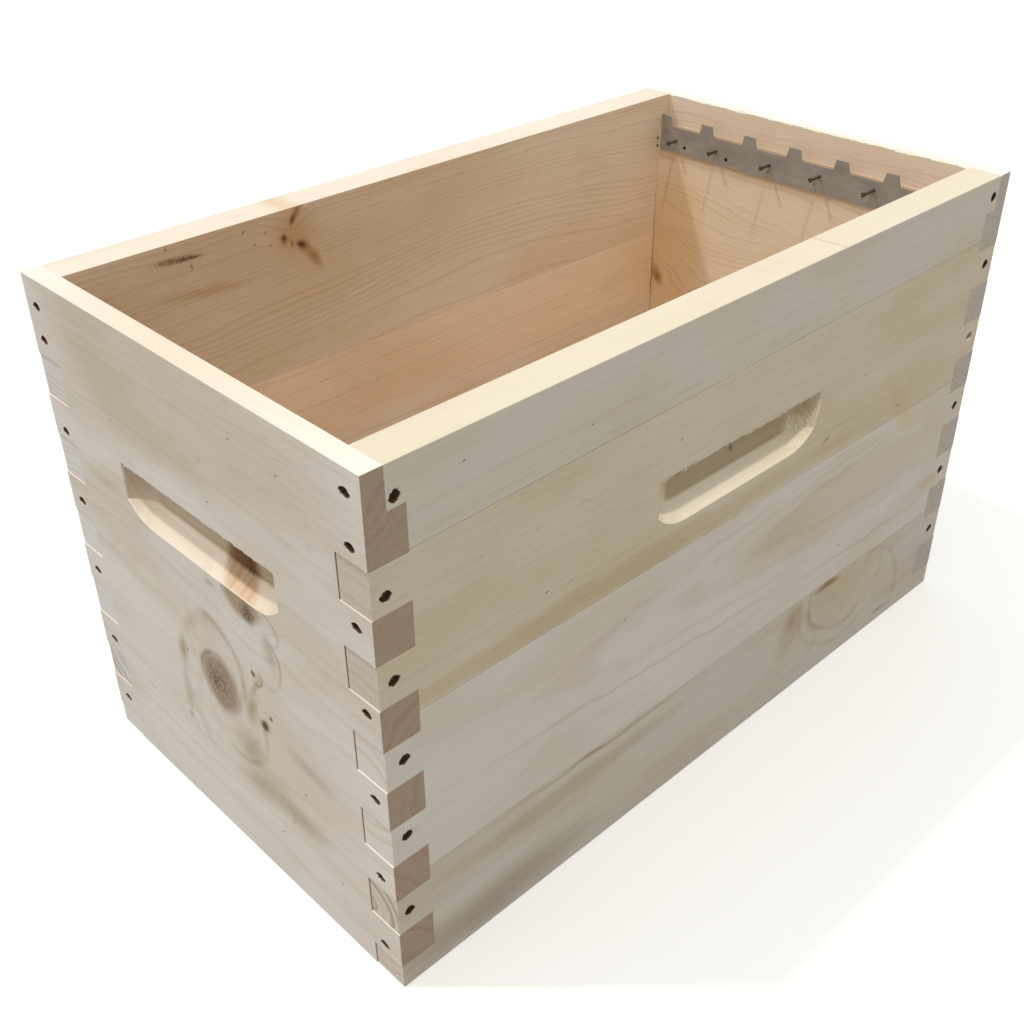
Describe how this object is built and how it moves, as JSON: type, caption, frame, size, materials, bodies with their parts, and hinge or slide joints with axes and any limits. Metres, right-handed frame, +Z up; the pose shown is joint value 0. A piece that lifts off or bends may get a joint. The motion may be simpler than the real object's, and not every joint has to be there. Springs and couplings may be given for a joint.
{
  "type": "nuc box",
  "caption": "Open-topped, bottomless softwood nucleus hive body with nailed finger-jointed corners, scooped handholds on every side and a castellated metal frame rest at each end.",
  "frame": {"origin": "under the middle of the box, on the plane that it stands on", "axes": "+X along the length from the front end to the back end, +Y across to the left side, +Z up"},
  "size_m": [0.508, 0.285, 0.3125],
  "materials": {
    "end_pine": "bare planed knotty softwood, pale grey-cream",
    "side_pine": "bare planed edge-glued softwood, pale tan",
    "zinc_sheet": "dull galvanised sheet",
    "rest_nail_steel": "dark round nails",
    "corner_nail_steel": "bright wire nails, sunk below the surface"
  },
  "bodies": {
    "root": {"front_end_board": "end_pine", "back_end_board": "end_pine", "right_top_stave_front": "side_pine", "right_top_stave_back": "side_pine", "right_upper_stave": "side_pine", "right_lower_stave": "side_pine", "right_bottom_stave": "side_pine", "left_top_stave": "side_pine", "left_middle_stave": "side_pine", "left_bottom_stave": "side_pine", "front_frame_rest": "zinc_sheet", "back_frame_rest": "zinc_sheet", "front_frame_rest_nails": "rest_nail_steel", "back_frame_rest_nails": "rest_nail_steel", "front_right_end_nails": "corner_nail_steel", "front_left_end_nails": "corner_nail_steel", "back_right_end_nails": "corner_nail_steel", "back_left_end_nails": "corner_nail_steel", "front_right_side_nails": "corner_nail_steel", "front_left_side_nails": "corner_nail_steel", "back_right_side_nails": "corner_nail_steel", "back_left_side_nails": "corner_nail_steel"}
  },
  "joints": []
}
